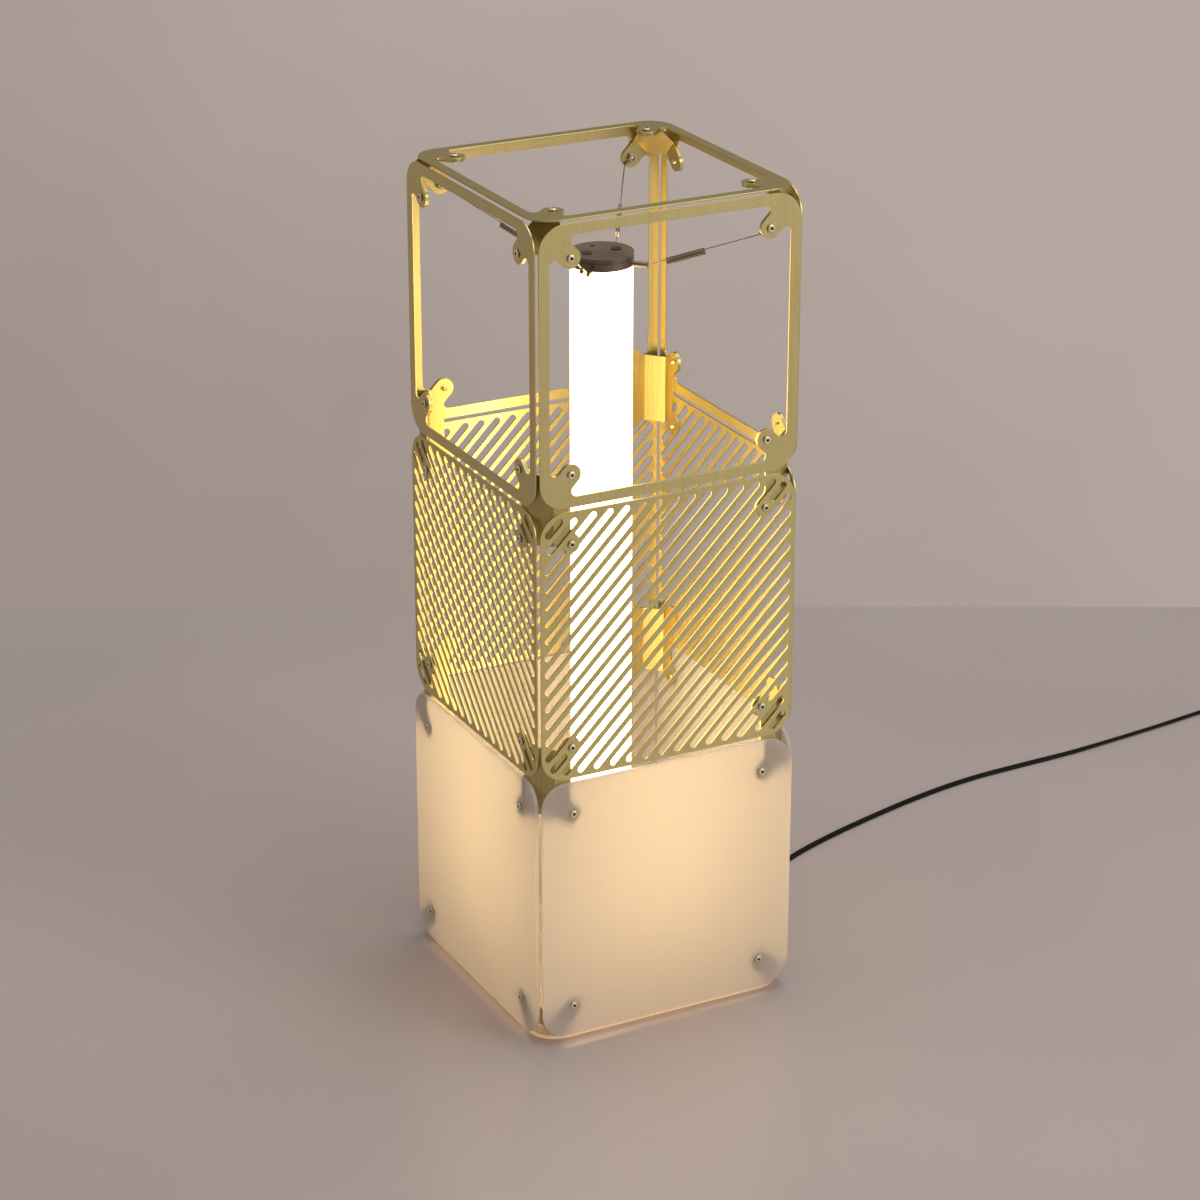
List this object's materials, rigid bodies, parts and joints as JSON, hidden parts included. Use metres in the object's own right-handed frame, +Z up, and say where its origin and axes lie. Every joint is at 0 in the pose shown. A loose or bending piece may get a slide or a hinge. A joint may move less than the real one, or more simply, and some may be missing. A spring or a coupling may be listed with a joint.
{
  "type": "column floor lamp",
  "caption": "Square column floor lamp of stacked open, slotted and frosted cells around a light tube held by stay wires, with its mains cord.",
  "frame": {"origin": "on the floor under the feet, at the middle of the square column, without its cord", "axes": "+Z up along the column; -Y is the front with the frosted panel seen in the picture, -X its left side; the cord leaves towards +X"},
  "size_m": [1.1267, 0.358, 0.7515],
  "materials": {
    "metal_panel": "brushed sheet with a champagne brass tone",
    "bracket_metal": "bent sheet with a darker brass tone",
    "frosted_acrylic": "frosted white acrylic, lit from behind",
    "screw_metal": "plain button heads",
    "foot_rubber": "matt pads",
    "opal_tube": "opal tube, lit from inside",
    "core_aluminium": "plain extruded bar",
    "led_board": "white boards",
    "cap_metal": "dark bronze, satin",
    "wire_steel": "thin wire and plain ring ends",
    "sleeve_metal": "dark crimped sleeves",
    "base_unit_metal": "light satin paint",
    "driver_case": "sealed plastic case",
    "cord_rubber": "black flexible cord",
    "moulded_plastic": "black moulding",
    "pin_metal": "plated pins"
  },
  "bodies": {
    "root": {"top_frame": "metal_panel", "upper_frame_front": "metal_panel", "upper_frame_right": "metal_panel", "upper_frame_back": "metal_panel", "upper_frame_left": "metal_panel", "slotted_panel_front": "metal_panel", "slotted_panel_right": "metal_panel", "slotted_panel_back": "metal_panel", "slotted_panel_left": "metal_panel", "frosted_panel_front": "frosted_acrylic", "frosted_panel_right": "frosted_acrylic", "frosted_panel_back": "frosted_acrylic", "frosted_panel_left": "frosted_acrylic", "base_panel": "frosted_acrylic", "top_bracket_front_left": "bracket_metal", "top_bracket_front_right": "bracket_metal", "top_bracket_back_right": "bracket_metal", "top_bracket_back_left": "bracket_metal", "upper_bracket_front_left": "bracket_metal", "upper_bracket_front_right": "bracket_metal", "upper_bracket_back_right": "bracket_metal", "upper_bracket_back_left": "bracket_metal", "lower_bracket_front_left": "bracket_metal", "lower_bracket_front_right": "bracket_metal", "lower_bracket_back_right": "bracket_metal", "lower_bracket_back_left": "bracket_metal", "base_bracket_front_left": "bracket_metal", "base_bracket_front_right": "bracket_metal", "base_bracket_back_right": "bracket_metal", "base_bracket_back_left": "bracket_metal", "top_frame_screws": "screw_metal", "upper_frame_screws": "screw_metal", "slotted_panel_screws": "screw_metal", "frosted_panel_screws": "screw_metal", "base_panel_screws": "screw_metal", "feet": "foot_rubber", "diffuser_tube": "opal_tube", "led_core": "core_aluminium", "led_boards": "led_board", "cap_ring": "cap_metal", "cap_lid": "cap_metal", "wire_barrels": "cap_metal", "cap_screws": "screw_metal", "lug_nuts": "screw_metal", "cup_screws": "screw_metal", "stay_wire_front_left": "wire_steel", "stay_wire_front_right": "wire_steel", "stay_wire_back_right": "wire_steel", "stay_wire_back_left": "wire_steel", "wire_lugs": "wire_steel", "wire_sleeves": "sleeve_metal", "base_cup": "base_unit_metal", "tube_collar": "base_unit_metal", "driver": "driver_case", "inner_lead": "cord_rubber", "cord_run": "cord_rubber", "cord_coil": "cord_rubber", "strain_relief": "moulded_plastic", "plug_body": "moulded_plastic", "plug_pins": "pin_metal"}
  },
  "joints": []
}
